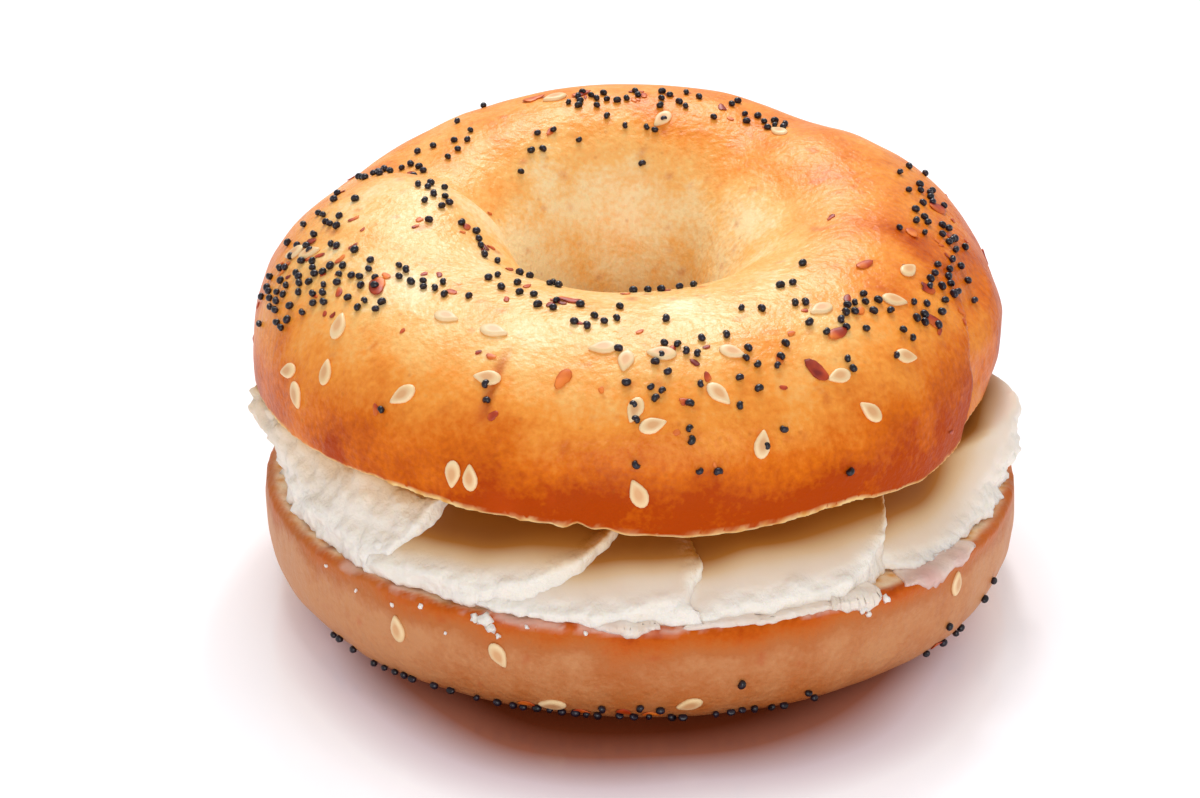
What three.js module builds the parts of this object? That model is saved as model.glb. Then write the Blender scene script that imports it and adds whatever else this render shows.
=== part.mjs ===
// A seeded bagel, cut across and filled with thick slices of cream cheese.
// Millimetres, +Z up. The origin is on the table, in the middle of the bagel's box.
// Angles round the ring are in degrees from +X, anticlockwise seen from above, so the front is at -90.
import * as THREE from "three";

// ---- Driving dimensions ----
const RIM_RADIUS = 44.8; // outer radius of the bread where it is cut
const HOLE_RADIUS = 9.5; // radius of the hole where it is cut
const CREST_RADIUS = 26; // middle of the ring of dough, where it is highest
const BOTTOM_HEIGHT = 13.4; // table to the bottom half's cut
const TOP_HEIGHT = 21; // top half's cut to its crest
const FILLING_HEIGHT = 10.7; // between the two cuts, under the middle of the top half
const TOP_SHIFT = new THREE.Vector2(-0.9, 5); // the top half sits a little off centre
const TOP_TILT = 1.7; // degrees that the top half leans towards the front
const GAP = 0.3; // left between pieces that rest on each other

// ---- How finely it is drawn ----
const RING_STEPS = 72; // round a half of bread
const CURVE_STEPS = 8; // along each curve of an outline
const SLICE_STEP = 6; // degrees between the sections of a slice of cheese

// ---- Seeds and flakes ----
const SESAME = { length: 3.3, width: 1.9, thickness: 0.9 };
const FLAKE = { length: 2.6, width: 1.5, thickness: 0.5 };

const radians = THREE.MathUtils.degToRad;
const smooth = THREE.MathUtils.smoothstep;
const mix = THREE.MathUtils.lerp;

// The turn from one angle to another, in degrees, from -180 to 180.
const turn = (from, to) => ((((to - from) % 360) + 540) % 360) - 180;

// A soft swelling of 1 at `centre` that fades to 0 at `halfWidth` degrees to either side.
const swell = (angle, centre, halfWidth) => 1 - smooth(Math.abs(turn(centre, angle)), 0, halfWidth);

const polar = (angle, radius, z) => [
  radius * Math.cos(radians(angle)),
  radius * Math.sin(radians(angle)),
  z,
];

// ---- The two halves of bread ----

// What makes a half uneven. Each value is read at an angle round the ring.
// The top half is higher at the back, tucks under at the right, and folds over itself at the left.
const topForm = {
  rim: (a) => RIM_RADIUS + 0.3 + 0.8 * swell(a, -140, 55) - 3 * swell(a, -5, 55),
  belly: (a) => 0.2 + 2.2 * swell(a, -5, 55) + 1.1 * swell(a, 28, 24),
  height: (a) =>
    TOP_HEIGHT * (1 + 0.17 * Math.sin(radians(a))) +
    0.8 * swell(a, 90, 60) +
    1.3 * swell(a, 192, 34) -
    1.3 * swell(a, 158, 30) +
    0.6 * swell(a, 28, 22) -
    0.8 * swell(a, 50, 18),
  hole: (a) => HOLE_RADIUS + 2.5 * swell(a, 195, 60),
};

const bottomForm = {
  rim: () => RIM_RADIUS,
  belly: () => 0.3,
  height: () => BOTTOM_HEIGHT,
  hole: () => HOLE_RADIUS,
};

// The outline of the top half: the cut, the outer wall up to the crest, and down into the hole.
function topOutline() {
  const outline = new THREE.Path();
  outline.moveTo(HOLE_RADIUS, 0);
  outline.lineTo(RIM_RADIUS, 0);
  outline.bezierCurveTo(RIM_RADIUS + 1.2, 11.5, RIM_RADIUS - 5.8, TOP_HEIGHT, CREST_RADIUS, TOP_HEIGHT);
  outline.bezierCurveTo(CREST_RADIUS - 9.5, TOP_HEIGHT, HOLE_RADIUS + 0.5, 13, HOLE_RADIUS, 0);
  return outline;
}

// The outline of the bottom half: the flat base, the wall up to the cut, the cut, and down the hole.
function bottomOutline() {
  const outline = new THREE.Path();
  outline.moveTo(HOLE_RADIUS + 6, 0);
  outline.lineTo(RIM_RADIUS - 7, 0);
  outline.bezierCurveTo(RIM_RADIUS - 1.5, 0.2, RIM_RADIUS + 0.6, 4.5, RIM_RADIUS, BOTTOM_HEIGHT);
  outline.lineTo(HOLE_RADIUS, BOTTOM_HEIGHT);
  outline.bezierCurveTo(HOLE_RADIUS - 0.5, 6, HOLE_RADIUS + 1, 1, HOLE_RADIUS + 6, 0);
  return outline;
}

// Gives a function that moves a point of a half's even outline to where the uneven loaf has it.
const shaper = (form, evenHeight) => (angle, radius, z) => {
  const up = z / evenHeight;
  const outer = radius > CREST_RADIUS;
  const evenEdge = outer ? RIM_RADIUS : HOLE_RADIUS;
  const edge = outer ? form.rim(angle) : form.hole(angle);
  const reach = (radius - CREST_RADIUS) / (evenEdge - CREST_RADIUS);
  const bulge = outer ? form.belly(angle) * Math.sin(Math.PI * Math.min(1, up * 1.15)) : 0;
  return polar(angle, mix(CREST_RADIUS, edge, reach) + bulge, up * form.height(angle));
};

const placeTop = shaper(topForm, TOP_HEIGHT);
const placeBottom = shaper(bottomForm, BOTTOM_HEIGHT);

// Turns an outline round the Z axis, and then moves each point as `place` says.
function ring(outline, place) {
  const geometry = new THREE.LatheGeometry(outline.getPoints(CURVE_STEPS), RING_STEPS);
  geometry.rotateX(Math.PI / 2);
  const position = geometry.getAttribute("position");
  for (let i = 0; i < position.count; i++) {
    const angle = THREE.MathUtils.radToDeg(Math.atan2(position.getY(i), position.getX(i)));
    const radius = Math.hypot(position.getX(i), position.getY(i));
    position.setXYZ(i, ...place(angle, radius, position.getZ(i)));
  }
  return geometry;
}

// ---- The slices of cream cheese ----

// Each slice lies between two angles. It rises from its outer edge, where it is `foot` of the gap
// high, to the top half at `shoulder`. Its width is drawn in by `start` and `end` at its two ends.
const slices = {
  left_block: { from: 168, to: 227, inner: 14, outer: 44.2, shoulder: 38, foot: 0.3, start: 0.05, end: 0.08 },
  left_petal: { from: 228.5, to: 263, inner: 14, outer: 43, shoulder: 32, foot: 0.12, start: 0, end: 0.14 },
  front_slab: { from: 264.5, to: 276, inner: 14, outer: 43.8, shoulder: 32, foot: 0.06, start: 0, end: 0 },
  right_petal: { from: 277.5, to: 311, inner: 14, outer: 43, shoulder: 32, foot: 0.12, start: 0, end: 0.14 },
  right_slab: { from: 312.5, to: 382, inner: 14, outer: 43, shoulder: 34, foot: 0.16, start: 0.14, end: 0 },
  back_right_slab: { from: 23.5, to: 94, inner: 14, outer: 42.4, shoulder: 36, foot: 0.2, start: 0, end: 0.06 },
  back_left_slab: { from: 95.5, to: 166.5, inner: 14, outer: 42.4, shoulder: 36, foot: 0.2, start: 0.06, end: 0 },
  thin_smear: { from: 315.5, to: 327, inner: 41.6, outer: 44.3, shoulder: 43, foot: 0.04, start: 0, end: 0, top: 0.1 },
};

// The height of the gap between the two cuts, which leans with the top half.
const gapHeight = (y) => FILLING_HEIGHT + (y - TOP_SHIFT.y) * Math.tan(radians(TOP_TILT));

function slice({ from, to, inner, outer, shoulder, foot, start, end, top = 1 }) {
  const section = new THREE.Shape();
  section.moveTo(inner, 0);
  section.lineTo(outer, 0);
  section.lineTo(outer, foot);
  section.bezierCurveTo(outer - 0.8, mix(foot, top, 0.5), mix(shoulder, outer, 0.5), top, shoulder, top);
  section.lineTo(inner, top);
  const geometry = new THREE.ExtrudeGeometry(section, {
    depth: 1,
    steps: Math.ceil((to - from) / SLICE_STEP),
    curveSegments: CURVE_STEPS,
    bevelEnabled: false,
  });
  const position = geometry.getAttribute("position");
  for (let i = 0; i < position.count; i++) {
    const left = position.getZ(i); // from 1 at the slice's start to 0 at its end
    const narrowing = 1 - start * left ** 3 - end * (1 - left) ** 3;
    const radius = mix(inner, position.getX(i), narrowing);
    const [x, y] = polar(mix(to, from, left), radius, 0);
    const up = position.getY(i) * (gapHeight(y) - 2 * GAP);
    position.setXYZ(i, x, y, BOTTOM_HEIGHT + GAP + up);
  }
  return geometry;
}

// ---- What is sprinkled on the crust ----

// Where each seed or flake lies, as [angle, across, spin]. On the top half, across runs from the
// outer rim at 0 over the crest at 0.5 to the hole at 1. On the bottom half it runs up the wall.
const topSesame = [
  [-114, 0.08, -92], [-111.5, 0.08, -85], [-89, 0.075, 112], [-87, 0.21, 15], [-89.5, 0.24, 70],
  [-112, 0.28, 5], [-115, 0.38, 0], [-125, 0.38, 5], [-95, 0.375, 10], [-91, 0.345, 80],
  [-85, 0.36, -10], [-73, 0.35, -35], [-77, 0.265, -55], [-72, 0.155, 75], [-57.5, 0.255, 0],
  [-54.5, 0.17, -50], [-44, 0.24, -30], [-37, 0.34, -50], [-27, 0.36, -10], [-52, 0.4, 0],
  [-124, 0.205, 45], [-139, 0.185, -70], [-147.5, 0.14, 30], [-144, 0.11, -50], [-141.5, 0.27, -60],
  [-167, 0.28, 60], [-163, 0.31, 60], [113, 0.5, 5], [43, 0.53, -10], [80, 0.62, 60],
];
const bottomSesame = [
  [-125, 0.82, 100], [-109, 0.82, -60], [-102, 0.48, 5], [-83, 0.56, 20], [-38.5, 0.88, 80],
];
const topFlakes = [
  [-33, 0.43, -20], [-13, 0.385, 40], [-28, 0.31, -60], [6, 0.32, -50], [11, 0.15, 60],
  [-33, 0.26, -70], [118, 0.48, 0], [106, 0.51, 10], [-166, 0.32, 30], [-142, 0.37, -30],
  [-105, 0.5, 0], [-100.5, 0.3, 70], [-60.5, 0.275, -60], [-53, 0.335, 10],
];

const outerCrust = topOutline().curves[1];
const innerCrust = topOutline().curves[2];
const bottomWall = bottomOutline().curves[1];

function onTop(angle, across) {
  const { x, y } = across < 0.5 ? outerCrust.getPoint(across * 2) : innerCrust.getPoint(across * 2 - 1);
  return new THREE.Vector3(...placeTop(angle, x, y));
}

function onBottom(angle, across) {
  const { x, y } = bottomWall.getPoint(across);
  return new THREE.Vector3(...placeBottom(angle, x, y));
}

// A sesame seed: a flattened drop, narrower at one end.
function sesame() {
  const geometry = new THREE.SphereGeometry(0.5, 8, 5).rotateZ(Math.PI / 2);
  const position = geometry.getAttribute("position");
  for (let i = 0; i < position.count; i++) {
    const taper = 1 - 0.6 * position.getX(i);
    position.setY(i, position.getY(i) * taper);
  }
  return geometry.scale(SESAME.length, SESAME.width, SESAME.thickness);
}

// A flake of dried onion: a thin chip with five corners.
function flake() {
  const chip = new THREE.Shape();
  chip.setFromPoints([
    new THREE.Vector2(-0.5, -0.25),
    new THREE.Vector2(0.1, -0.5),
    new THREE.Vector2(0.5, 0),
    new THREE.Vector2(0.2, 0.5),
    new THREE.Vector2(-0.4, 0.3),
  ]);
  const geometry = new THREE.ExtrudeGeometry(chip, { depth: 1, bevelEnabled: false });
  return geometry.translate(0, 0, -0.5).scale(FLAKE.length, FLAKE.width, FLAKE.thickness);
}

// Lays a piece flat on a crust, just clear of it.
function lay(piece, crust, [angle, across, spin], thickness) {
  const point = crust(angle, across);
  const around = crust(angle + 1, across).sub(point).normalize();
  const upward = crust(angle, across + 0.02).sub(point).normalize();
  const normal = around.clone().cross(upward).normalize();
  const side = normal.clone().cross(around);
  piece.quaternion.setFromRotationMatrix(new THREE.Matrix4().makeBasis(around, side, normal));
  piece.rotateZ(radians(spin));
  piece.position.copy(point).addScaledVector(normal, thickness / 2 + GAP);
  return piece;
}

// ---- The whole bagel ----

const plain = (color, roughness) => new THREE.MeshStandardMaterial({ color, roughness, metalness: 0 });
const crust = plain(0xd98a3c, 0.45);
const cheese = plain(0xf3ede2, 0.5);
const seed = plain(0xf2d9a8, 0.5);
const onion = plain(0xb8481a, 0.6);

function mesh(name, geometry, material) {
  const made = new THREE.Mesh(geometry, material);
  made.name = name;
  return made;
}

const bagel = new THREE.Group();
bagel.add(mesh("bottom_half", ring(bottomOutline(), placeBottom), crust));
for (const [name, shape] of Object.entries(slices)) {
  bagel.add(mesh(name, slice(shape), cheese));
}
bottomSesame.forEach((place, i) => {
  bagel.add(lay(mesh(`lower_sesame_${i + 1}`, sesame(), seed), onBottom, place, SESAME.thickness));
});

// The top half and what is baked on it lean together.
const lid = new THREE.Group();
lid.position.set(TOP_SHIFT.x, TOP_SHIFT.y, BOTTOM_HEIGHT + FILLING_HEIGHT);
lid.rotation.x = radians(TOP_TILT);
lid.add(mesh("top_half", ring(topOutline(), placeTop), crust));
topSesame.forEach((place, i) => {
  lid.add(lay(mesh(`sesame_${i + 1}`, sesame(), seed), onTop, place, SESAME.thickness));
});
topFlakes.forEach((place, i) => {
  lid.add(lay(mesh(`onion_flake_${i + 1}`, flake(), onion), onTop, place, FLAKE.thickness));
});
bagel.add(lid);

// Puts the middle of the bagel's box over the origin.
const middle = new THREE.Box3().setFromObject(bagel, true).getCenter(new THREE.Vector3());
bagel.position.set(-middle.x, -middle.y, 0);

export default bagel;
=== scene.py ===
"""A seeded bagel with cream cheese: the two baked halves, the slices of cheese and the seeds."""

import math
import random

import bmesh
import bpy
from mathutils import Matrix, Vector, noise
from mathutils.bvhtree import BVHTree


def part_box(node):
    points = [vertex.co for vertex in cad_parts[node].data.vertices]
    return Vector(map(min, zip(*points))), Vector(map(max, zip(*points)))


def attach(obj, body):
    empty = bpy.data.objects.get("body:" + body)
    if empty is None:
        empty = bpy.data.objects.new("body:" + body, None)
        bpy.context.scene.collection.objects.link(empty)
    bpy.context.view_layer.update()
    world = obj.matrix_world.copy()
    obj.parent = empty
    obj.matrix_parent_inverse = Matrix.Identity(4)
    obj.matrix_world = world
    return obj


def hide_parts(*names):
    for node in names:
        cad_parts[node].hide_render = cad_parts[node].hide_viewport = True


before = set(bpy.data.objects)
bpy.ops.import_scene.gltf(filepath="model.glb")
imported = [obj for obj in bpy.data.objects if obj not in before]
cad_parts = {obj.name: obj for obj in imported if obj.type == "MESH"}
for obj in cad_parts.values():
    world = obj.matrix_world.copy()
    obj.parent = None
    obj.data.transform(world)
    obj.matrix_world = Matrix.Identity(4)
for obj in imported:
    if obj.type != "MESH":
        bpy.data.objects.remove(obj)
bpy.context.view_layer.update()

# ---- Sizes, in metres, from the frame and from the design ----
MM = 0.001
BOTTOM_LOW, BOTTOM_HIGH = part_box("bottom_half")
CUT = BOTTOM_HIGH.z  # the bottom half's cut
MIDDLE = Vector(((BOTTOM_LOW.x + BOTTOM_HIGH.x) / 2, (BOTTOM_LOW.y + BOTTOM_HIGH.y) / 2, 0))
RIM = 44.8 * MM  # radius of the bread where it is cut
CREST = 26 * MM  # radius of the middle of the ring of dough
CORE = 8 * MM  # height of that middle over the top half's cut
DOME = 21 * MM  # height of the top half over its cut
FILLING = 10.7 * MM  # between the two cuts, under the middle of the top half
LID = MIDDLE + Vector((-0.9 * MM, 5 * MM, CUT + FILLING))  # middle of the top half's cut
LEAN = math.radians(1.7)  # the top half leans towards the front
LID_PLACE = Matrix.Translation(LID) @ Matrix.Rotation(LEAN, 4, "X")
TO_LID = LID_PLACE.inverted()
TO_BOTTOM = Matrix.Translation(-MIDDLE)

# Places round the bagel are angles in degrees: 0 is at the right and -90 at the front.
SCRATCH = -111  # a thin scratch on the top half
BLISTER = -178  # a blister low on the top half

# ---- Fineness of the meshes ----
BREAD_VOXEL = 0.5 * MM
CHEESE_VOXEL = 0.45 * MM


# ---- Small helpers ----

def smooth(x, low, high):
    """0 below low, 1 above high, and an even curve between."""
    t = min(1, max(0, (x - low) / (high - low)))
    return t * t * (3 - 2 * t)


def mix(a, b, t):
    return a + (b - a) * t


def turn(start, end):
    """From one angle to another, in degrees, from -180 to 180."""
    return (end - start + 180) % 360 - 180


def swell(angle, centre, half_width):
    """1 at centre, fading to 0 half_width degrees to either side."""
    return 1 - smooth(abs(turn(centre, angle)), 0, half_width)


def polar(point):
    """Angle in degrees and radius of a point, round the Z axis."""
    return math.degrees(math.atan2(point.y, point.x)), math.hypot(point.x, point.y)


def at(angle, radius, z=0):
    a = math.radians(angle)
    return Vector((radius * math.cos(a), radius * math.sin(a), z))


def rough(point, size, seed=0):
    """Even noise from about -1 to 1 whose bumps are about size apart."""
    return noise.noise(point / size + Vector((seed * 7.3, seed * 3.1, seed * 5.7)))


def new_object(name, bm):
    mesh = bpy.data.meshes.new(name)
    bm.to_mesh(mesh)
    bm.free()
    made = bpy.data.objects.new(name, mesh)
    bpy.context.scene.collection.objects.link(made)
    return made


def bake_modifiers(piece):
    """Replaces the piece's mesh with what its modifiers make of it."""
    graph = bpy.context.evaluated_depsgraph_get()
    made = bpy.data.meshes.new_from_object(piece.evaluated_get(graph))
    piece.modifiers.clear()
    piece.data = made
    made.name = piece.name


def remesh(piece, voxel):
    """Gives the piece an even skin of small faces."""
    modifier = piece.modifiers.new("even skin", "REMESH")
    modifier.mode = "VOXEL"
    modifier.voxel_size = voxel
    bake_modifiers(piece)


def finish(piece, material, marks=None):
    """Gives the piece a smooth skin, its material, and the marks, {name: a number for each vertex}, that
    the material reads."""
    for name, values in (marks or {}).items():
        layer = piece.data.attributes.new(name, "FLOAT", "POINT")
        layer.data.foreach_set("value", values)
    for face in piece.data.polygons:
        face.use_smooth = True
    piece.data.materials.append(material)
    return piece


# ---- Materials ----

def colour(text):
    """An sRGB hex colour as the linear numbers that a shader takes."""
    channels = [int(text[i:i + 2], 16) / 255 for i in (1, 3, 5)]
    linear = [c / 12.92 if c <= 0.04045 else ((c + 0.055) / 1.055) ** 2.4 for c in channels]
    return (*linear, 1)


def add(tree, kind, inputs=None, stops=None, **settings):
    """Adds a node with its settings, and sets or links its inputs. stops are a colour ramp's."""
    node = tree.nodes.new(kind)
    for name, value in settings.items():
        setattr(node, name, value)
    for name, value in (inputs or {}).items():
        if isinstance(value, bpy.types.NodeSocket):
            tree.links.new(value, node.inputs[name])
        else:
            node.inputs[name].default_value = value
    if stops:
        elements = node.color_ramp.elements
        while len(elements) < len(stops):
            elements.new(1)
        for element, (place, hue) in zip(elements, stops):
            element.position = place
            element.color = colour(hue)
    return node


def new_material(name):
    """An empty material with its shader: returns the material, its node tree and the shader."""
    material = bpy.data.materials.new(name)
    material.use_nodes = True
    tree = material.node_tree
    return material, tree, tree.nodes["Principled BSDF"]


def per_metre(size_mm):
    """The scale of a pattern on object coordinates whose features are size_mm apart."""
    return 1 / (size_mm * MM)


def crust_material(name, hues, crumb_hues, shine):
    """Baked, steamed dough: a tight, slightly glossy skin that browns in patches, with fine pits, over
    a pale open crumb where it is cut."""
    material, tree, shader = new_material(name)
    place = add(tree, "ShaderNodeTexCoord").outputs["Object"]
    # baked is how brown the crust is; on the top half it also holds painted light and painted shade
    baked = add(tree, "ShaderNodeAttribute", attribute_name="baked").outputs["Fac"]
    crumb = add(tree, "ShaderNodeAttribute", attribute_name="crumb").outputs["Fac"]
    blush = add(tree, "ShaderNodeAttribute", attribute_name="blush").outputs["Fac"]
    patches = add(tree, "ShaderNodeTexNoise", {"Vector": place, "Scale": per_metre(7), "Detail": 3.0})
    speckle = add(tree, "ShaderNodeTexNoise", {"Vector": place, "Scale": per_metre(0.7), "Detail": 2.0})
    patchy = add(tree, "ShaderNodeMath", {0: patches.outputs["Fac"], 1: 0.7, 2: -0.35},
                 operation="MULTIPLY_ADD")
    fine = add(tree, "ShaderNodeMath", {0: speckle.outputs["Fac"], 1: 0.36, 2: -0.18},
               operation="MULTIPLY_ADD")
    uneven = add(tree, "ShaderNodeMath", {0: patchy.outputs[0], 1: fine.outputs[0]})
    browned = add(tree, "ShaderNodeMath", {0: baked, 1: uneven.outputs[0]}, use_clamp=True)
    skin = add(tree, "ShaderNodeValToRGB", {"Fac": browned.outputs[0]}, stops=hues)
    red = add(tree, "ShaderNodeMix", {"Factor": blush, 6: skin.outputs[0], 7: colour("#C0480A")},
              data_type="RGBA")
    pores = add(tree, "ShaderNodeTexVoronoi", {"Vector": place, "Scale": per_metre(1.6)})
    inside = add(tree, "ShaderNodeValToRGB", {"Fac": pores.outputs["Distance"]}, stops=crumb_hues)
    whole = add(tree, "ShaderNodeMix", {"Factor": crumb, 6: red.outputs[2], 7: inside.outputs[0]},
                data_type="RGBA")
    dots = add(tree, "ShaderNodeTexVoronoi", {"Vector": place, "Scale": per_metre(2.4)})
    scorched = add(tree, "ShaderNodeMapRange", {"Value": dots.outputs["Distance"], "From Min": 0.14,
                                                "From Max": 0.04, "To Max": 0.3})
    dotted = add(tree, "ShaderNodeMix", {"Factor": scorched.outputs[0], 6: whole.outputs[2],
                                         7: colour("#B4560C")}, data_type="RGBA")
    smeared = add(tree, "ShaderNodeAttribute", attribute_name="smeared").outputs["Fac"]
    touched = add(tree, "ShaderNodeMix", {"Factor": smeared, 6: dotted.outputs[2], 7: colour("#F0D2C4")},
                  data_type="RGBA")
    tree.links.new(touched.outputs[2], shader.inputs["Base Color"])
    gloss = add(tree, "ShaderNodeMapRange", {"Value": baked, "To Min": 0.5, "To Max": 0.04})
    tree.links.new(gloss.outputs[0], shader.inputs["Specular IOR Level"])

    grain = add(tree, "ShaderNodeTexNoise", {"Vector": place, "Scale": per_metre(0.5), "Detail": 3.0})
    dimples = add(tree, "ShaderNodeTexVoronoi", {"Vector": place, "Scale": per_metre(1.0)},
                  feature="SMOOTH_F1")
    relief = add(tree, "ShaderNodeMath", {0: grain.outputs["Fac"], 1: dimples.outputs["Distance"]})
    bump = add(tree, "ShaderNodeBump", {"Height": relief.outputs[0], "Distance": 0.17 * MM,
                                        "Strength": 0.7})
    tree.links.new(bump.outputs[0], shader.inputs["Normal"])
    dull = add(tree, "ShaderNodeMapRange", {"Value": crumb, "To Min": shine, "To Max": 0.85})
    tree.links.new(dull.outputs[0], shader.inputs["Roughness"])
    shader.inputs["Subsurface Weight"].default_value = 0.1
    shader.inputs["Subsurface Radius"].default_value = (1.0, 0.5, 0.25)
    shader.inputs["Subsurface Scale"].default_value = 1.0 * MM
    return material


def cheese_material():
    """Fresh cream cheese, cut with a knife: moist, off-white, and light sinks into it. Beneath the top
    half it is painted a warm ochre brown as painted shade, and where it is thin the crust shows through
    pink."""
    material, tree, shader = new_material("fresh_cream_cheese")
    place = add(tree, "ShaderNodeTexCoord").outputs["Object"]
    ragged = add(tree, "ShaderNodeAttribute", attribute_name="ragged").outputs["Fac"]
    under = add(tree, "ShaderNodeAttribute", attribute_name="under").outputs["Fac"]
    thin = add(tree, "ShaderNodeAttribute", attribute_name="thin").outputs["Fac"]
    clouds = add(tree, "ShaderNodeTexNoise", {"Vector": place, "Scale": per_metre(9), "Detail": 3.0})
    body = add(tree, "ShaderNodeValToRGB", {"Fac": clouds.outputs["Fac"]},
               stops=[(0.3, "#EBD6C2"), (0.7, "#F4E3D2")])
    torn = add(tree, "ShaderNodeMix", {"Factor": ragged, 6: body.outputs[0], 7: colour("#FAF1E6")},
               data_type="RGBA")
    # painted shade: beneath the top half the cheese is painted ochre brown, darkest furthest in
    shaded = add(tree, "ShaderNodeValToRGB", {"Fac": under},
                 stops=[(0.05, "#F4E2C4"), (0.4, "#D6A658"), (0.75, "#A8661C"), (1.0, "#7E4000")])
    depth_under = add(tree, "ShaderNodeMath", {0: under, 1: 1.35}, operation="MULTIPLY", use_clamp=True)
    warm = add(tree, "ShaderNodeMix", {"Factor": depth_under.outputs[0], 6: torn.outputs[2],
                                       7: shaded.outputs[0]}, data_type="RGBA")
    smeared = add(tree, "ShaderNodeMix", {"Factor": thin, 6: warm.outputs[2], 7: colour("#DDB0A6")},
                  data_type="RGBA")
    tree.links.new(smeared.outputs[2], shader.inputs["Base Color"])
    curds = add(tree, "ShaderNodeTexNoise", {"Vector": place, "Scale": per_metre(0.9), "Detail": 4.0})
    depth = add(tree, "ShaderNodeMath", {0: ragged, 1: 0.9, 2: 0.05}, operation="MULTIPLY_ADD")
    lift = add(tree, "ShaderNodeMath", {0: curds.outputs["Fac"], 1: depth.outputs[0]},
               operation="MULTIPLY")
    bump = add(tree, "ShaderNodeBump", {"Height": lift.outputs[0], "Distance": 0.5 * MM, "Strength": 0.8})
    tree.links.new(bump.outputs[0], shader.inputs["Normal"])
    shader.inputs["Roughness"].default_value = 0.48
    shader.inputs["Specular IOR Level"].default_value = 0.35
    shader.inputs["Subsurface Weight"].default_value = 0.3
    shader.inputs["Subsurface Radius"].default_value = (1.0, 0.8, 0.55)
    shader.inputs["Subsurface Scale"].default_value = 1.2 * MM
    return material


def seed_material(name, hues, shine, feature_mm, middle=None):
    """A small dry seed or chip: satin skin whose colour drifts from piece to piece. A middle hue shows
    where the skin lies over the kernel, inside a paler edge."""
    material, tree, shader = new_material(name)
    place = add(tree, "ShaderNodeTexCoord").outputs["Object"]
    drift = add(tree, "ShaderNodeTexNoise", {"Vector": place, "Scale": per_metre(feature_mm),
                                             "Detail": 2.0})
    skin = add(tree, "ShaderNodeValToRGB", {"Fac": drift.outputs["Fac"]}, stops=hues).outputs[0]
    if middle:
        kernel = add(tree, "ShaderNodeAttribute", attribute_name="kernel").outputs["Fac"]
        skin = add(tree, "ShaderNodeMix", {"Factor": kernel, 6: skin, 7: colour(middle)},
                   data_type="RGBA").outputs[2]
    tree.links.new(skin, shader.inputs["Base Color"])
    bump = add(tree, "ShaderNodeBump", {"Height": drift.outputs["Fac"], "Distance": 0.05 * MM})
    tree.links.new(bump.outputs[0], shader.inputs["Normal"])
    shader.inputs["Roughness"].default_value = shine
    return material


TOP_CRUST = crust_material(
    "baked_bagel_crust",
    [(0.0, "#FCDFA8"), (0.2, "#FABE6C"), (0.45, "#F79A38"), (0.72, "#E0700A"), (1.0, "#B44202")],
    [(0.1, "#E0A050"), (0.45, "#F6CF8C"), (1.0, "#FADDA4")],
    0.36,
)
BOTTOM_CRUST = crust_material(
    "paler_tray_side_crust",
    [(0.0, "#D08C56"), (0.3, "#C27034"), (0.6, "#C86A26"), (0.85, "#CA5C0E"), (1.0, "#B84A04")],
    [(0.1, "#E6A45C"), (0.45, "#F4CCA0"), (1.0, "#FBE4C6")],
    0.5,
)
CREAM_CHEESE = cheese_material()
SESAME = seed_material("hulled_sesame", [(0.3, "#F0CC94"), (0.7, "#FADDAE")], 0.4, 2.5, middle="#E2AA74")
POPPY = seed_material("blue_poppy_seed", [(0.3, "#08050A"), (0.7, "#20162A")], 0.28, 0.8)
ONION = seed_material("toasted_onion_flake", [(0.35, "#7C1200"), (0.5, "#BC3C04"), (0.65, "#EC7C20")],
                      0.45, 3)


# ---- The bread ----

def bread_copy(name, node):
    """A copy of a CAD half with its loose triangles joined and an even skin."""
    bm = bmesh.new()
    bm.from_mesh(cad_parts[node].data)
    bmesh.ops.remove_doubles(bm, verts=bm.verts, dist=0.001 * MM)
    bmesh.ops.recalc_face_normals(bm, faces=bm.faces)
    piece = new_object(name, bm)
    remesh(piece, BREAD_VOXEL)
    return piece


def soften(bm, verts, rounds):
    """Takes the facets out of a stretch of skin."""
    for _ in range(rounds):
        bmesh.ops.smooth_vert(bm, verts=verts, factor=0.5,
                              use_axis_x=True, use_axis_y=True, use_axis_z=True)


def behind_crease(point):
    """How far behind the crease at the right a point of the top half lies, in millimetres."""
    angle, radius = polar(point)
    crease = -32.5 + 3 * smooth(point.z, 0, 8 * MM) + 11 * smooth(point.z, 8 * MM, 17 * MM)
    return math.radians(turn(crease, angle)) * radius / MM


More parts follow.
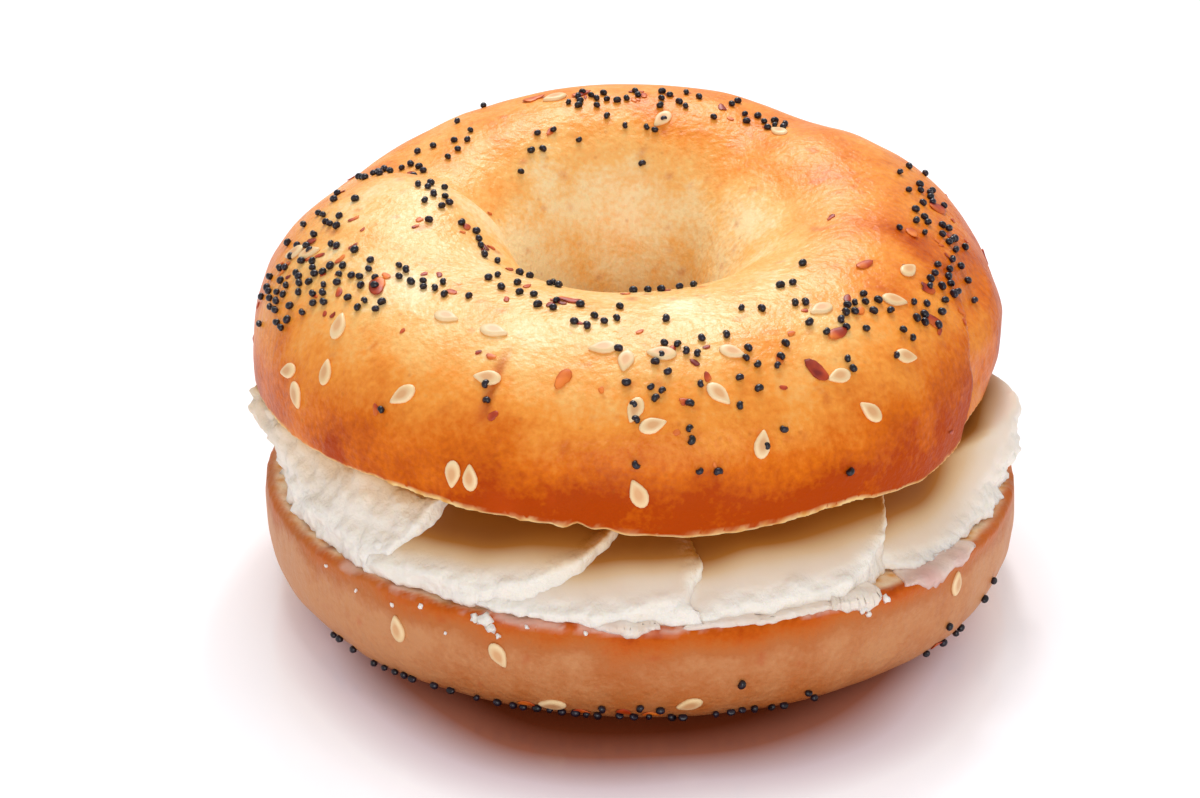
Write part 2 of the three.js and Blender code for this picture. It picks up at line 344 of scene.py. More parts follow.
def top_shape(vert):
    """How far a point of the top crust moves, in millimetres: out of the crust, and straight up."""
    angle, radius = polar(vert.co)
    reach = radius / MM
    skin = smooth(vert.co.z, 0.5 * MM, 4 * MM)
    lumps = 0.4 * rough(vert.co, 17 * MM, 1) + 0.13 * rough(vert.co, 5 * MM, 2)

    # the fold on the left, where the ends of the dough were joined: a dip with a ridge beside it
    dip = mix(179, 158, smooth(reach, 14, 42))
    beside = math.radians(turn(dip, angle)) * reach
    fold = smooth(beside, -0.5, 3.2) * (1 - smooth(beside, 4, 17))
    fold -= 0.9 * smooth(beside, -9, -0.5) * (1 - smooth(beside, -0.5, 2))
    fold *= smooth(reach, 11, 17) * (1 - smooth(reach, 27, 38)) * 0.9

    # the dough closes in on the right of the hole
    closing = 2.2 * swell(angle, 12, 55) * (1 - smooth(reach, 10, 19))

    # the crease at the right: the dough in front of it stands proud of the dough behind
    height = vert.co.z / MM
    behind = behind_crease(vert.co)
    outer = smooth(reach, 32, 38) * (1 - smooth(height, 12, 17))
    crease = -2.0 * smooth(behind, -0.4, 0.5) * (1 - smooth(behind, 2, 15)) * outer
    crease -= 0.9 * math.exp(-((behind - 0.6) / 0.7) ** 2) * outer

    # the blister at the far left and the scratch at the front
    blister = 1.1 * math.exp(-((turn(BLISTER, angle) / 2.2) ** 2 + ((height - 2.2) / 1.2) ** 2)) * outer
    scratch = (-0.35 * math.exp(-(turn(SCRATCH, angle) / 0.5) ** 2)
               * smooth(height, 9, 11) * (1 - smooth(height, 14, 15.5)))

    # the edge of the cut is raised at the left, up to a step, hangs lower at the front and in front of
    # the crease, is raised again behind the crease, and is torn
    edge = (1 - smooth(height, 0, 5)) * smooth(reach, 36, 42)
    lift = 1.2 - 0.85 * smooth(angle, -125, -108)
    lift *= smooth(angle, -180, -162)
    lift *= 1 - smooth(angle, -105.4, -104.6)
    lift -= 1.3 * swell(angle, -80, 24) + 1.3 * swell(angle, -45, 18)
    lift += 1.4 * smooth(behind, 0, 0.8) * (1 - smooth(behind, 4, 14))
    torn = 1.1 * rough(at(angle, RIM), 2.2 * MM, 5) * swell(angle, -97, 9)
    frayed = 0.22 * rough(at(angle, RIM), 2.2 * MM, 6)
    return (lumps + fold + closing + crease + blister + scratch) * skin, (lift + torn + frayed) * edge


def top_bread():
    """The top half: its cut stays flat, and its crust gets the folds and unevenness of the dough. baked is
    how brown the crust is, with painted light and painted shade mixed in; crumb is where it is cut, and
    blush where it is reddish."""
    piece = bread_copy("top_bread", "top_half")
    bm = bmesh.new()
    bm.from_mesh(piece.data)
    for vert in bm.verts:
        vert.co = TO_LID @ vert.co
    soften(bm, [v for v in bm.verts if v.co.z > 1 * MM], 14)
    bm.normal_update()
    moves, crumb = [], []
    for vert in bm.verts:
        out, up = top_shape(vert)
        moves.append(vert.normal * out * MM + Vector((0, 0, up * MM)))
        ragged = (0.28 + 0.2 * rough(vert.co, 1.6 * MM, 4)) * MM
        crumb.append(1 - smooth(vert.co.z, ragged, ragged + 0.25 * MM))
    for vert, move in zip(bm.verts, moves):
        vert.co += move
    soften(bm, [v for v in bm.verts if v.co.z > 3 * MM], 1)
    baked, blush = [], []
    for vert in bm.verts:
        angle, radius = polar(vert.co)
        height = vert.co.z / (DOME * (1 + 0.17 * math.sin(math.radians(angle))))
        outer = smooth(radius, CREST - 6 * MM, CREST + 8 * MM)
        wall = (1 - min(1, max(0, height)) ** 1.5) ** 1.5 * outer
        away = smooth(math.sin(math.radians(angle)), -0.45, 0.5)
        rear = (0.36 - 0.15 * swell(angle, 140, 50)) * away
        rear *= smooth(radius, 13 * MM, 22 * MM)
        rear *= 1 - 0.85 * wall
        right = 0.4 * swell(angle, -17, 46) * smooth(radius, 15 * MM, 31 * MM) * (1 - 0.75 * wall)
        behind = behind_crease(vert.co)
        # painted shade: a browner band just behind the crease at the right, on its upper part; further
        # behind, the dough is paler
        right += 0.16 * math.exp(-((behind - 1.5) / 2.2) ** 2) * outer * smooth(height, 0.5, 0.7)
        right -= 0.55 * smooth(behind, 0.3, 1.5) * (1 - smooth(behind, 8, 16)) * wall
        ridge = 0.13 * swell(angle, 188, 22) * (1 - smooth(radius, 28 * MM, 38 * MM))
        # painted light: low on the left the wall is painted paler, against the little light it gets
        pale = 0.12 * wall * swell(angle, -150, 45)
        uneven = 0.09 * rough(vert.co, 13 * MM, 3) + 0.07 * rough(vert.co, 4 * MM, 8)
        # painted light: the crust inside the hole is painted paler, against the shade there
        ring = smooth(radius, 11 * MM, 19 * MM)
        baked.append(0.07 + 0.09 * ring + 0.03 * outer + 0.84 * wall + rear + right
                     - (ridge + pale) + uneven)
        scratch = swell(angle, SCRATCH, 1.5) * smooth(vert.co.z, 9 * MM, 11 * MM)
        scratch *= 1 - smooth(vert.co.z, 14 * MM, 16 * MM)
        spots = max(0, rough(vert.co, 1.8 * MM, 7) - 0.47) * 1.6
        blister = swell(angle, BLISTER, 3) * (1 - smooth(vert.co.z, 3 * MM, 5 * MM)) * outer
        smudge = 0.6 * swell(angle, -107, 4) * (1 - smooth(vert.co.z, 2 * MM, 5 * MM)) * outer
        blush.append(min(0.8, 0.7 * scratch + spots + 0.8 * blister + smudge))
    for vert in bm.verts:
        vert.co = LID_PLACE @ vert.co
    bm.to_mesh(piece.data)
    bm.free()
    return finish(piece, TOP_CRUST, {"baked": baked, "crumb": crumb, "blush": blush})


def bottom_bread():
    """The bottom half: its wall is nearly upright, browned at the cut and paler towards the flat base.
    baked, crumb and blush are as on the top half, and smeared is where a film of cheese lies on it."""
    piece = bread_copy("bottom_bread", "bottom_half")
    bm = bmesh.new()
    bm.from_mesh(piece.data)
    for vert in bm.verts:
        vert.co = TO_BOTTOM @ vert.co
    soften(bm, [v for v in bm.verts if 0.3 * MM < v.co.z < CUT - 1 * MM], 14)
    bm.normal_update()
    moves = []
    for vert in bm.verts:
        angle, radius = polar(vert.co)
        side = smooth(vert.co.z, 0.2 * MM, 3 * MM) * smooth(CUT - vert.co.z, 0.3 * MM, 2 * MM)
        lumps = 0.35 * rough(vert.co, 12 * MM, 11) + 0.16 * rough(vert.co, 4 * MM, 12)
        lip = smooth(vert.co.z, CUT - 2.5 * MM, CUT) * smooth(radius, 40 * MM, 43 * MM)
        torn = 0.35 * rough(at(angle, RIM), 2.4 * MM, 15) + 0.3 * rough(at(angle, RIM), 9 * MM, 16)
        moves.append(vert.normal * lumps * side * MM + Vector((0, 0, torn * lip * MM)))
    for vert, move in zip(bm.verts, moves):
        vert.co += move
    baked, crumb, blush, smeared = [], [], [], []
    for vert in bm.verts:
        angle, radius = polar(vert.co)
        depth = (CUT - vert.co.z) / MM
        film = 0.35 + 0.9 * rough(at(angle, RIM), 3.5 * MM, 19) + 0.5 * rough(vert.co, 1.2 * MM, 20)
        film = film * swell(angle, -100, 60)
        smeared.append(0.5 * smooth(film, 0.05, 0.3) * (1 - smooth(depth, 0.5 * film, 0.5 * film + 0.5)))
        front = swell(angle, -80, 85)
        band = 0.5 + 1.5 * front + 1.2 * rough(at(angle, RIM), 14 * MM, 17)
        uneven = depth + 0.9 * rough(vert.co, 5 * MM, 13)
        brown = mix(0.68, 0.95, front) - 0.75 * smooth(uneven, band - 2, band + 2.8)
        baked.append(brown + 0.12 * rough(vert.co, 3 * MM, 12))
        inside = smooth(radius, 43.2 * MM, 44.4 * MM) + smooth(depth, 0.3, 0.7)
        crumb.append((1 - min(1, inside)) * smooth(rough(vert.co, 2.5 * MM, 14), -0.8, 0))
        blush.append(max(0, rough(vert.co, 1.3 * MM, 18) - 0.5) * 1.2)
    for vert in bm.verts:
        vert.co += MIDDLE
    bm.to_mesh(piece.data)
    bm.free()
    return finish(piece, BOTTOM_CRUST,
                  {"baked": baked, "crumb": crumb, "blush": blush, "smeared": smeared})


TOP_BREAD = top_bread()
BOTTOM_BREAD = bottom_bread()


# ---- The cream cheese ----
# The shape of a slice, in millimetres.
INNER_END = 15  # radius of its inner end
CORNER = 31  # radius that its rounded corners start from
SLOPE_FOOT = 44.3  # radius where the slope of its top starts to rise
LIP = 0.5  # height of its outer edge
UNDER_LID = 0.3  # its top ends this far below the top half's cut
TORN_FROM = 24  # radius outside which it is torn and lumpy


def gap_height(point):
    """Between the two cuts at a point, because the top half leans."""
    return FILLING + (point.y - LID.y) * math.tan(LEAN)


def curd(point, size, seed):
    """Rounded lumps with creases between them, from about -0.5 to 1."""
    nearest = noise.voronoi(point / size + Vector((seed * 4.1, seed * 2.3, seed * 6.9)))[0][0]
    return 1 - 1.8 * nearest


def lid_inset(point):
    """How far a point is inside the top half's rim, seen from above."""
    spot = point - LID
    angle, radius = polar(spot)
    return RIM - 3 * MM * swell(angle, -5, 55) - radius


def cheese_slice(name, start, end, outer, lift=(0, 0), run=10.8, round_start=0, round_end=0, wild=0.3,
                 crumbly=0, shade=-2.7, lean=(0, 0, 0), seed=1):
    """A slice between two angles, in degrees, that ends at the radius outer. Its top slopes from there up
    to the top half over run. lift raises it by so much at each end. round_start and round_end are how
    many degrees of each end curve inwards, wild is how far the torn edges stray, crumbly how lumpy the
    whole top is, and shade how far inside the top half's rim it starts to darken. lean is an angle, how
    far the foot of the edge stands out there, and how far its top hangs over. Lengths are in
    millimetres."""
    lean_angle, foot, overhang = lean

    def leaning(angle):
        return swell(angle, lean_angle, 28)

    def edge(angle):
        """The radius of the outer edge, in millimetres."""
        near_end = max(1 - turn(start, angle) / round_start if round_start else 0,
                       1 - turn(angle, end) / round_end if round_end else 0)
        t = min(1, max(0, near_end))
        corner = (outer - CORNER) * (1 - math.sqrt(1 - t ** 2.4))
        return outer - corner + foot * leaning(angle) + 0.5 * rough(at(angle, RIM), 8 * MM, seed)

    bm = bmesh.new()
    bmesh.ops.create_grid(bm, x_segments=110, y_segments=50, size=0.5)
    for vert in bm.verts:
        share = vert.co.x + 0.5
        ragged_end = 2.6 * abs(2 * share - 1) ** 5
        along_cut = Vector((0, 0, vert.co.y * 40)) * MM
        angle = mix(start, end, share) + ragged_end * rough(along_cut, 4 * MM, seed + 9)
        radius = mix(INNER_END, edge(angle), vert.co.y + 0.5)
        spot = at(angle, radius * MM)
        full = gap_height(spot + MIDDLE) / MM - UNDER_LID
        rise = mix(run, 2, leaning(angle)) if overhang else run
        slope = min(1, max(0, (SLOPE_FOOT + foot * leaning(angle) - radius) / rise)) ** 0.9
        height = min(full, LIP + slope * (full - LIP) + mix(*lift, share))
        vert.co = spot + MIDDLE + Vector((0, 0, CUT + height * MM))
    made = bmesh.ops.extrude_face_region(bm, geom=bm.faces[:])
    for vert in made["geom"]:
        if isinstance(vert, bmesh.types.BMVert):
            vert.co.z = CUT + 0.1 * MM
    bmesh.ops.recalc_face_normals(bm, faces=bm.faces)
    piece = new_object(name, bm)
    remesh(piece, CHEESE_VOXEL)
    bm = bmesh.new()
    bm.from_mesh(piece.data)
    soften(bm, bm.verts, 2)
    bm.normal_update()
    moves, marks = [], {"ragged": [], "under": [], "thin": []}
    for vert in bm.verts:
        spot = vert.co - MIDDLE
        angle, radius = polar(spot)
        inset = min(edge(angle) - radius / MM, radius / MM * math.radians(abs(turn(start, angle))),
                    radius / MM * math.radians(abs(turn(end, angle))))
        torn = max(crumbly, 1 - smooth(inset + 0.5 * rough(spot, 3 * MM, seed + 6), 0.2, 2.0))
        curds, chunks, spread = 0, 0, 0
        if radius > TORN_FROM * MM:
            curds = 1.0 * rough(spot, 2.6 * MM, seed) + 0.65 * curd(spot, 1.6 * MM, seed + 2) - 0.2
            curds *= 1 + 0.4 * overhang * leaning(angle)
            spread = overhang * leaning(angle) * smooth(spot.z - CUT, 2 * MM, 7 * MM)
        if crumbly and radius > TORN_FROM * MM:
            chunks = 2.2 * rough(spot, 8 * MM, seed + 4) + 0.9 * curd(spot, 4 * MM, seed + 7) - 0.3
            chunks = crumbly * chunks * smooth(inset, -0.5, 5)
        face = 0.14 * rough(spot, 8 * MM, seed + 3)
        moves.append(vert.normal * (curds * torn * wild + chunks + face) * MM + at(angle, spread * MM))
        marks["ragged"].append(torn)
        # painted shade: darker the further inside the top half's rim a point lies and the more its face
        # looks up
        hidden = lid_inset(vert.co) / MM + 0.7 * rough(spot, 6 * MM, seed + 5)
        upward = 0.4 + 0.6 * smooth(vert.normal.z, 0.25, 0.75)
        marks["under"].append(0.95 * upward * smooth(hidden, shade - 1.2, shade + 4.6))
        marks["thin"].append(0)
    for vert, move in zip(bm.verts, moves):
        vert.co += move
        vert.co.z = max(vert.co.z, CUT + 0.05 * MM)
    bm.to_mesh(piece.data)
    bm.free()
    return finish(piece, CREAM_CHEESE, marks)


def surface_tree(piece):
    """The piece's skin, for finding the nearest point on it."""
    return BVHTree.FromPolygons([v.co for v in piece.data.vertices],
                                [p.vertices for p in piece.data.polygons])


TOP_SKIN = surface_tree(TOP_BREAD)
BOTTOM_SKIN = surface_tree(BOTTOM_BREAD)


def smear(name, start, end, inward, hang, thickness, thin, seed):
    """A film of cheese that lies on the bottom half's cut and hangs a little over its edge. It reaches
    inward from the edge and hang down the wall, in millimetres. thin is how much crust shows."""
    bm = bmesh.new()
    bmesh.ops.create_grid(bm, x_segments=90, y_segments=26, size=0.5)
    marks = {"ragged": [], "under": [], "thin": []}
    for vert in bm.verts:
        u, v = vert.co.x + 0.5, vert.co.y + 0.5
        angle = mix(start, end, u)
        taper = math.sin(math.pi * min(1, max(0, u))) ** 0.5
        along = at(angle, RIM)
        frayed = 0.75 + 0.6 * rough(along, 2.6 * MM, seed) + 0.25 * rough(along, 0.9 * MM, seed + 1)
        ends = min(1, 1.6 * taper ** 2) * (1 + 0.5 * rough(along, 5 * MM, seed + 6))
        path = mix(-inward * ends, max(0.2, hang * taper * frayed), v)
        guide = at(angle, RIM + min(0, path) * MM) + MIDDLE
        guide.z = CUT + (0.5 - max(0, path)) * MM
        found, normal, _, _ = BOTTOM_SKIN.find_nearest(guide)
        rim = min(1, 4 * taper, 7 * (1 - v), 6 * v + 0.2)
        up = thickness * rim * (1 + 0.5 * rough(found, 1.6 * MM, seed + 2))
        vert.co = found + normal * (up + 0.02) * MM
        marks["ragged"].append(0.4 + 0.5 * rough(found, 1.4 * MM, seed + 3))
        marks["under"].append(0)
        marks["thin"].append(min(1, max(0, thin * (1 + 1.5 * rough(found, 4 * MM, seed + 4)))))
    count = len(bm.verts)
    made = bmesh.ops.extrude_face_region(bm, geom=bm.faces[:])
    for vert in made["geom"]:
        if isinstance(vert, bmesh.types.BMVert):
            found, normal, _, _ = BOTTOM_SKIN.find_nearest(vert.co)
            vert.co = found - normal * 0.3 * MM
    bmesh.ops.recalc_face_normals(bm, faces=bm.faces)
    for values in marks.values():
        values.extend([0] * (len(bm.verts) - count))
    return finish(new_object(name, bm), CREAM_CHEESE, marks)


DRIPS = [
    smear("drip_over_the_edge", -96, -87, 3, 1.5, 0.45, 0.1, 93),
    smear("torn_tip_over_the_edge", -63, -55, 5, 2.0, 0.9, 0, 97),
    smear("film_along_the_edge", -84, -62, 4, 0.35, 0.5, 0.2, 99),
]
CHEESE = {
    "left_block": cheese_slice("left_mashed_block", 166, 239, 43.6, lift=(1.6, 0.8), run=6, round_end=13,
                               wild=0.6, crumbly=0.8, shade=0.6, lean=(184, -1.5, 4.2), seed=21),
    "left_petal": cheese_slice("left_petal_slice", 224, 270, 43.9, lift=(0.9, 2.9), round_end=27,
                               round_start=5, wild=0.5, seed=31),
    "front_slab": cheese_slice("front_slice", 244, 278.5, 44.5, lift=(0.1, 1.6), wild=0.6, seed=41),
    "right_petal": cheese_slice("right_petal_slice", 276.5, 317, 43.7, lift=(0, 2.2), round_end=20,
                                wild=0.5, shade=-2.2, seed=51),
    "right_slab": cheese_slice("right_slice", 303, 383, 43.3, lift=(-2.8, 1.4), run=8, round_start=20,
                               wild=0.7, shade=-1.6, lean=(-8, 0.5, 1.8), seed=61),
    "back_right_slab": cheese_slice("back_right_slice", 20, 96, 43.0, run=7, wild=0.5, shade=6, seed=71),
    "back_left_slab": cheese_slice("back_left_slice", 94, 170, 43.0, run=7, wild=0.5, shade=6, seed=81),
    "thin_smear": smear("thin_smear_over_the_edge", -50, -33, 6, 2.6, 0.35, 0.7, 91),
}


# ---- What is sprinkled on the crust ----
# Length, width and thickness in millimetres.
SESAME_SIZE = (3.2, 1.95, 0.85)
POPPY_SIZE = (1.08, 0.92, 0.88)
FLAKE_SIZE = (3.0, 1.9, 0.3)


def seat(point, normal, along):
    """Where a small piece goes: X along its length and Z out of the crust."""
    x = (along - normal * along.dot(normal)).normalized()
    y = normal.cross(x)
    turned = Matrix((x, y, normal)).transposed().to_4x4()
    return Matrix.Translation(point) @ turned


def add_sesame(bm, layer, place, grow):
    """A hulled sesame seed: a flat drop with a raised edge round a slightly sunken middle."""
    long, wide, thick = SESAME_SIZE
    made = bmesh.ops.create_uvsphere(bm, u_segments=16, v_segments=10, radius=0.5)
    for vert in made["verts"]:
        x, y, z = vert.co
        middle = 1 - smooth(math.hypot(x, y), 0.16, 0.4)
        vert[layer] = middle if z > 0 else 0
        taper = 1 - 0.62 * smooth(x, -0.15, 0.65)
        sunk = z - 0.16 * middle if z > 0 else z
        vert.co = place @ (Vector((long * x, wide * y * taper, thick * sunk)) * MM * grow)


def add_flake(bm, place, grow, rng):
    """A chip of dried onion: thin, curled, with an uneven outline."""
    long, wide, thick = FLAKE_SIZE
    made = bmesh.ops.create_uvsphere(bm, u_segments=12, v_segments=6, radius=0.5)
    ragged = [rng.uniform(0.45, 1.25) for _ in range(6)]
    for vert in made["verts"]:
        x, y, z = vert.co
        side = (math.atan2(y, x) / math.tau % 1) * len(ragged)
        before, after = ragged[int(side) % len(ragged)], ragged[(int(side) + 1) % len(ragged)]
        reach = mix(before, after, side % 1)
        curl = 1.1 * (x * x) - 0.5 * y * y
        shaped = Vector((long * x * reach, wide * y * reach, thick * z + 0.5 * curl))
        vert.co = place @ (shaped * MM * grow)


def add_poppy(bm, place, grow):
    """A poppy seed: a small bean, a little longer than wide, with a dent in one side."""
    long, wide, thick = POPPY_SIZE
    made = bmesh.ops.create_icosphere(bm, subdivisions=2, radius=0.5)
    for vert in made["verts"]:
        x, y, z = vert.co
        dent = 0.3 * smooth(y, 0.2, 0.5) * (1 - smooth(abs(x), 0, 0.3))
        vert.co = place @ (Vector((long * x, wide * (y - dent), thick * z)) * MM * grow)


def cad_pieces(start):
    """The middle and the long direction of each CAD piece whose name starts so."""
    for node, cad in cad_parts.items():
        if node.startswith(start):
            points = [cad.matrix_world @ v.co for v in cad.data.vertices]
            middle = sum(points, Vector()) / len(points)
            tip = max(points, key=lambda p: (p - middle).length)
            yield middle, tip - middle


def sprinkled(name, bm, material):
    """The finished piece that holds all the small pieces of one kind."""
    bmesh.ops.recalc_face_normals(bm, faces=bm.faces)
    return finish(new_object(name, bm), material)


def any_way(rng):
    """A random direction."""
    return Vector((rng.uniform(-1, 1), rng.uniform(-1, 1), rng.uniform(-1, 1)))


def sesame_seeds(name, start, skin, rng):
    """A sesame seed on the skin for each CAD piece whose name starts so."""
    bm = bmesh.new()
    layer = bm.verts.layers.float.new("kernel")
    for middle, along in cad_pieces(start):
        found, normal, _, _ = skin.find_nearest(middle)
        add_sesame(bm, layer, seat(found + normal * 0.12 * MM, normal, along), rng.uniform(0.92, 1.06))
    return sprinkled(name, bm, SESAME)


def on_top(angle, roll):
    """The point of the top crust that lies roll degrees above the level, seen from the middle of the
    ring of dough at this angle, and its outward direction."""
    tilt = math.radians(roll)
    out = LID_PLACE.to_3x3() @ at(angle, math.cos(tilt), math.sin(tilt))
    found, normal, _, _ = TOP_SKIN.ray_cast(LID_PLACE @ at(angle, CREST, CORE), out)
    return found, normal


# Where the top half's poppy seeds lie: [angle, roll, how far they spread in each, how many].
POPPY_PATCHES = [
    [-160, 22, 13, 17, 62], [-148, 40, 10, 14, 34], [-170, 45, 12, 18, 26], [-137, 62, 9, 12, 20],
    [-164, 100, 9, 10, 14], [-146, 117, 9, 5, 20], [-122, 122, 10, 5, 10], [-85, 124, 14, 4, 9],
    [-125, 92, 8, 10, 8], [-112, 80, 9, 12, 8], [-112, 17, 2.2, 5, 9], [-98, 62, 9, 10, 10],
    [-88, 20, 9, 10, 12], [-82, 42, 9, 8, 14], [-72, 30, 8, 12, 7], [-45, 42, 9, 9, 24],
    [-34, 30, 9, 12, 14], [-20, 32, 12, 16, 16], [-4, 44, 10, 18, 18], [12, 48, 10, 16, 12],
    [50, 92, 12, 9, 20], [76, 97, 8, 8, 14], [102, 97, 12, 7, 24], [150, 78, 16, 16, 14],
    [165, 62, 12, 16, 10], [100, 116, 50, 18, 14], [-60, 76, 30, 26, 8], [-60, 30, 60, 30, 10],
    [-89, 7, 2, 3, 1], [-83, 5, 3, 3, 3], [-79, -5, 4, 2, 3], [-70, 5, 3, 5, 3], [-59, -12, 1, 1, 1],
    [-127, 3, 1, 1, 1],
]
# Along the bottom half's base and on its wall: [angle, height in mm, spread of each, how many].
LOW_PATCHES = [
    [-102, 0.5, 15, 0.3, 70], [-78, 0.6, 14, 0.5, 22], [-128, 0.8, 10, 0.5, 10], [-140, 1.6, 9, 0.8, 6],
    [-45, 0.9, 12, 0.5, 5], [-92, 3, 6, 1.4, 4], [-70, 6, 60, 3, 6], [90, 1, 80, 0.8, 20],
]
SEED_GAP = 1.05 * MM  # no two poppy seeds are nearer
# Onion crumbs low on the bottom half: [angle, height in mm].
LOW_ONION = [[-106, 1.2], [-98, 0.9], [-92, 1.8], [-88, 0.8], [-40, 1.6]]
# Cheese crumbs on the bottom half's edge and wall: [angle, depth below the cut and size in mm].
WALL_CRUMBS = [
    [-111, 0.4, 1.5], [-110, 1.3, 1.1], [-112.5, 0.3, 1.0], [-109, 2.0, 0.6], [-126, 1.6, 0.5],
    [-133, 1.8, 0.45], [-121, 0.6, 0.55], [-117, 3, 0.35], [-140, 0.8, 0.4], [-58, 0.8, 0.9],
    [-57, 1.6, 0.6], [-105, 0.3, 0.5], [-97, 0.5, 0.5], [-54, 0.4, 0.8],
]
# Cheese crumbs on the left slices: [angle, radius, height over the cut and size in mm].
SLICE_CRUMBS = [[-126, 41.5, 3.0, 1.8], [-131, 42, 3.2, 2.2], [-121, 42.6, 1.8, 1.4]]


def poppy_seeds(rng):
    """All the poppy seeds, scattered in patches as they fell on the wet dough."""
    bm = bmesh.new()
    taken = []

    def free(found):
        if any((found - other).length < SEED_GAP for other in taken):
            return False
        taken.append(found)
        return True

    def drop(found, normal):
        along = any_way(rng)
        add_poppy(bm, seat(found + normal * 0.28 * MM, normal, along), rng.uniform(0.82, 1.04))

    for angle, roll, wide, tall, count in POPPY_PATCHES:
        for _ in range(count):
            found, normal = on_top(rng.gauss(angle, wide * 0.5), rng.gauss(roll, tall * 0.5))
            if free(found):
                drop(found, normal)
    for angle, height, wide, tall, count in LOW_PATCHES:
        for _ in range(count):
            guide = at(rng.gauss(angle, wide * 0.5), RIM, abs(rng.gauss(height, tall * 0.5)) * MM) + MIDDLE
            found, normal, _, _ = BOTTOM_SKIN.find_nearest(guide)
            if free(found):
                found.z = max(found.z, 0.6 * MM)
                drop(found, normal)
    return sprinkled("poppy_seeds", bm, POPPY)


def onion_flakes(rng):
    """A flake for each CAD flake, and small crumbs of the same among the poppy seeds."""
    bm = bmesh.new()
    for middle, along in cad_pieces("onion"):
        found, normal, _, _ = TOP_SKIN.find_nearest(middle)
        add_flake(bm, seat(found + normal * 0.1 * MM, normal, along), rng.uniform(0.85, 1.15), rng)
    for angle, roll, wide, tall, count in POPPY_PATCHES:
        for _ in range(count // 6 + 1):
            found, normal = on_top(rng.gauss(angle, wide), rng.gauss(roll, tall))
            along = any_way(rng)
            add_flake(bm, seat(found + normal * 0.06 * MM, normal, along), rng.uniform(0.3, 0.55), rng)
    for angle, height in LOW_ONION:
        found, normal, _, _ = BOTTOM_SKIN.find_nearest(at(angle, RIM, height * MM) + MIDDLE)
        add_flake(bm, seat(found + normal * 0.08 * MM, normal, at(angle + 90, 1)), 0.7, rng)
    return sprinkled("onion_flakes", bm, ONION)


def cheese_crumbs(rng):
    """Crumbs of cheese on the edge and wall of the bottom half, and larger ones on the left slices."""
    bm = bmesh.new()
    for angle, depth, size in WALL_CRUMBS:
        guide = at(angle, RIM + 1 * MM, CUT - depth * MM) + MIDDLE
        found, normal, _, _ = BOTTOM_SKIN.find_nearest(guide)
        made = bmesh.ops.create_icosphere(bm, subdivisions=2, radius=0.5 * size * MM)
        for vert in made["verts"]:
            vert.co *= 1 + 0.9 * rough(vert.co + found, 0.3 * MM, 3)
            vert.co += found + normal * 0.1 * MM
    for angle, radius, height, size in SLICE_CRUMBS:
        made = bmesh.ops.create_icosphere(bm, subdivisions=3, radius=0.5 * size * MM)
        for vert in made["verts"]:
            vert.co *= 1 + 0.5 * rough(vert.co, 1.1 * MM, angle) + 0.2 * rough(vert.co, 0.5 * MM, 5)
            vert.co.z *= 0.7
            vert.co += at(angle, radius * MM, CUT + height * MM) + MIDDLE
    bmesh.ops.recalc_face_normals(bm, faces=bm.faces)
    count = len(bm.verts)
    marks = {"ragged": [1] * count, "under": [0] * count, "thin": [0] * count}
    return finish(new_object("cheese_crumbs", bm), CREAM_CHEESE, marks)


def carry(piece, slot, *nodes):
    """The piece belongs to the bagel and stands for those CAD nodes, which are hidden. slot is not used.
    """
    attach(piece, "root")
    if nodes:
        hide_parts(*nodes)


def nodes_named(start):
    return [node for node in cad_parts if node.startswith(start)]


chance = random.Random(7)
carry(TOP_BREAD, "top_crust", "top_half")
carry(BOTTOM_BREAD, "bottom_crust", "bottom_half")
for node, piece in CHEESE.items():
    carry(piece, "cream_cheese", node)
for piece in DRIPS:
    carry(piece, "cream_cheese")
carry(cheese_crumbs(chance), "cream_cheese")
carry(sesame_seeds("sesame_seeds_on_top", "sesame", TOP_SKIN, chance), "sesame_seed",
      *nodes_named("sesame"))
carry(sesame_seeds("sesame_seeds_below", "lower_sesame", BOTTOM_SKIN, chance), "sesame_seed",
      *nodes_named("lower_sesame"))
carry(onion_flakes(chance), "onion_flake", *nodes_named("onion"))
carry(poppy_seeds(chance), "poppy_seed")


# ---- Camera, floor and light ----
ELEVATION = math.radians(23)
DISTANCE = 0.28
LENS = 70
AIM_LEFT = 4.8 * MM  # the camera aims this far to the left of the middle of the bagel
AIM_UP = 0.4 * MM


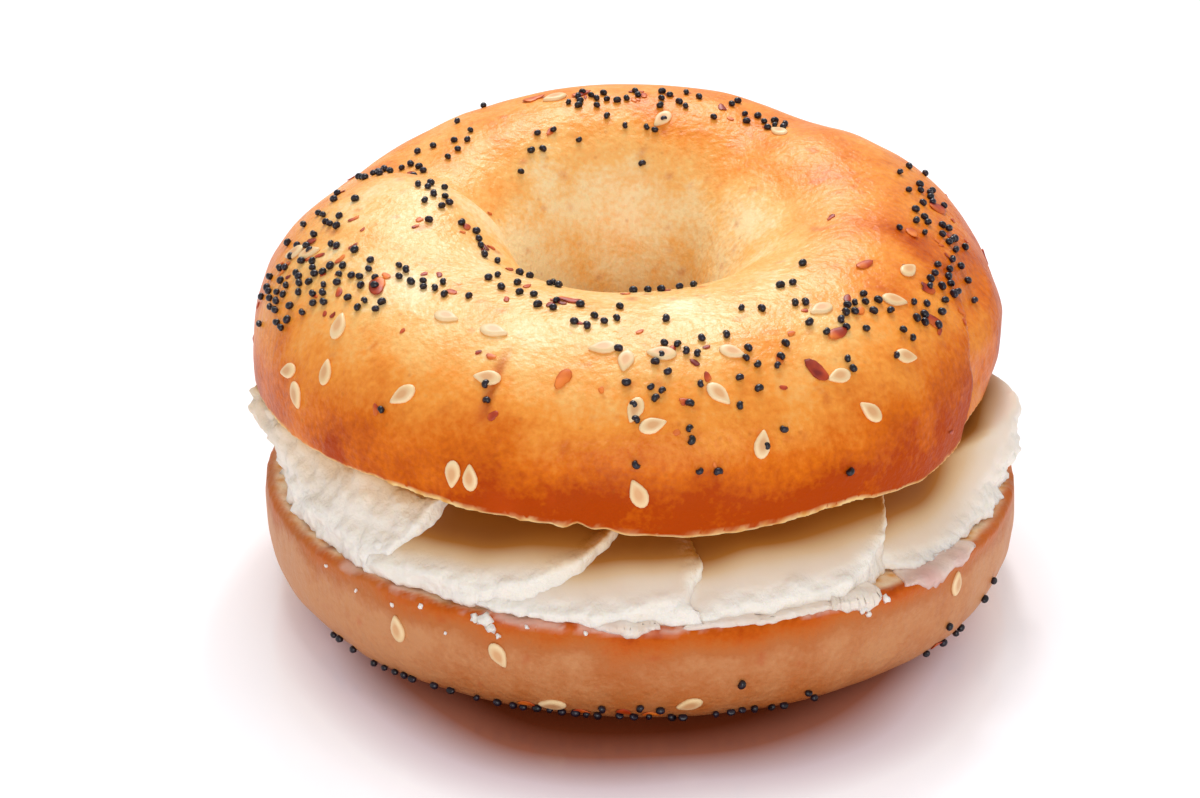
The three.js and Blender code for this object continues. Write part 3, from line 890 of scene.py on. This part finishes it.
def studio():
    scene = bpy.context.scene
    camera = bpy.data.objects.new("camera", bpy.data.cameras.new("camera"))
    scene.collection.objects.link(camera)
    centre = MIDDLE + Vector((0, 0, 20 * MM))
    back = Vector((0, -math.cos(ELEVATION), math.sin(ELEVATION)))
    camera.location = centre + back * DISTANCE
    up = Vector((0, math.sin(ELEVATION), math.cos(ELEVATION)))
    aim = centre + Vector((-AIM_LEFT, 0, 0)) + up * AIM_UP
    camera.rotation_euler = (aim - camera.location).to_track_quat("-Z", "Y").to_euler()
    camera.data.lens = LENS
    camera.data.clip_start = 0.01
    scene.camera = camera
    scene.view_settings.view_transform = "Standard"

    # a polished white floor with a painted contact shadow and painted reflection: dark warm brown at the
    # bagel's foot, fading to white
    bm = bmesh.new()
    bmesh.ops.create_grid(bm, x_segments=1, y_segments=1, size=3)
    floor = new_object("floor", bm)
    material, tree, shader = new_material("white_studio_floor")
    place = add(tree, "ShaderNodeTexCoord").outputs["Object"]
    shifted = add(tree, "ShaderNodeVectorMath", {0: place, 1: (0.001, -0.02, 0)}, operation="SUBTRACT")
    away = add(tree, "ShaderNodeVectorMath", {0: shifted.outputs[0]}, operation="LENGTH")
    wobble = add(tree, "ShaderNodeTexNoise", {"Vector": place, "Scale": per_metre(60)})
    far = add(tree, "ShaderNodeMath", {0: wobble.outputs["Fac"], 1: 0.012, 2: away.outputs["Value"]},
              operation="MULTIPLY_ADD")
    reach = add(tree, "ShaderNodeMapRange", {"Value": far.outputs[0], "From Min": 0.032,
                                             "From Max": 0.048})
    painted_shadow_tone = add(tree, "ShaderNodeValToRGB", {"Fac": reach.outputs[0]},
               stops=[(0.0, "#6A2E18"), (0.3, "#9A6250"), (0.65, "#DED2DA"), (1.0, "#F6F4F8")])
    tree.links.new(painted_shadow_tone.outputs[0], shader.inputs["Base Color"])
    # the floor also glows in these colours, a painted light that stands in for fill light
    tree.links.new(painted_shadow_tone.outputs[0], shader.inputs["Emission Color"])
    shader.inputs["Emission Strength"].default_value = 0.16
    shader.inputs["Roughness"].default_value = 0.16
    floor.data.materials.append(material)

    world = bpy.data.worlds.new("soft_white_room")
    scene.world = world
    world.use_nodes = True
    world.node_tree.nodes["Background"].inputs["Color"].default_value = colour("#FFFFFF")
    world.node_tree.nodes["Background"].inputs["Strength"].default_value = 0.58

    def softbox(name, place, size, power):
        light = bpy.data.lights.new(name, "AREA")
        light.shape = "RECTANGLE"
        light.size, light.size_y = size
        light.energy = power
        lamp = bpy.data.objects.new(name, light)
        lamp.location = place
        lamp.rotation_euler = (Vector((0, 0, 0.02)) - Vector(place)).to_track_quat("-Z", "Y").to_euler()
        scene.collection.objects.link(lamp)

    softbox("overhead_softbox", (-0.06, 0.32, 0.6), (0.36, 0.26), 2.4)
    softbox("small_window", (0.03, 0.4, 0.5), (0.07, 0.05), 0.75)
    softbox("front_fill", (0.1, -0.7, 0.25), (0.5, 0.3), 1.6)


studio()
